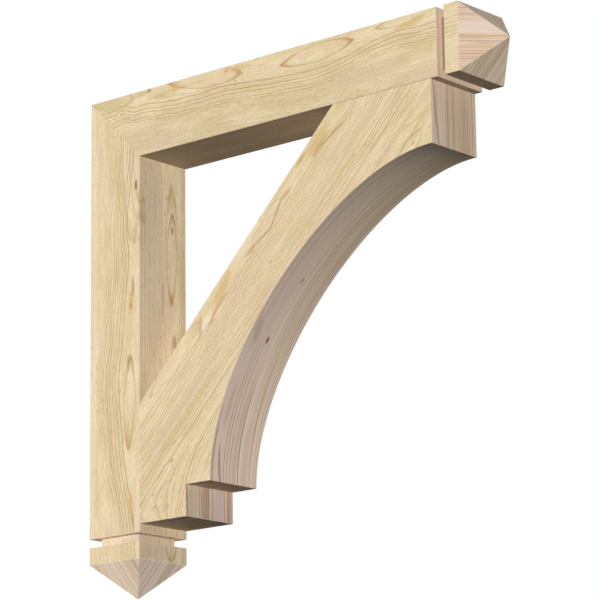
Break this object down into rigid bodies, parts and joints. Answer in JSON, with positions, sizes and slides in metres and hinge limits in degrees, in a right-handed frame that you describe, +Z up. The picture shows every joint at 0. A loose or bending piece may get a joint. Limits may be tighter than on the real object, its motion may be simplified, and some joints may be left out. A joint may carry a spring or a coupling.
{
  "type": "timber corbel bracket",
  "caption": "Timber corbel bracket: a wall post and a top arm mitred at the corner, with a stepped, hollow-curved brace between them and grooved, pointed free ends.",
  "frame": {"origin": "middle of the post's wall face, halfway between the top of the bracket and the post's shoulder", "axes": "+X leads away from the wall, +Y runs across the timbers, +Z is up"},
  "size_m": [0.762, 0.1016, 0.7619],
  "materials": {
    "sawn_softwood": "pale softwood, lightly sawn and unfinished, matt"
  },
  "bodies": {
    "root": {"wall_post": "sawn_softwood", "top_arm": "sawn_softwood", "curved_brace": "sawn_softwood"}
  },
  "joints": []
}
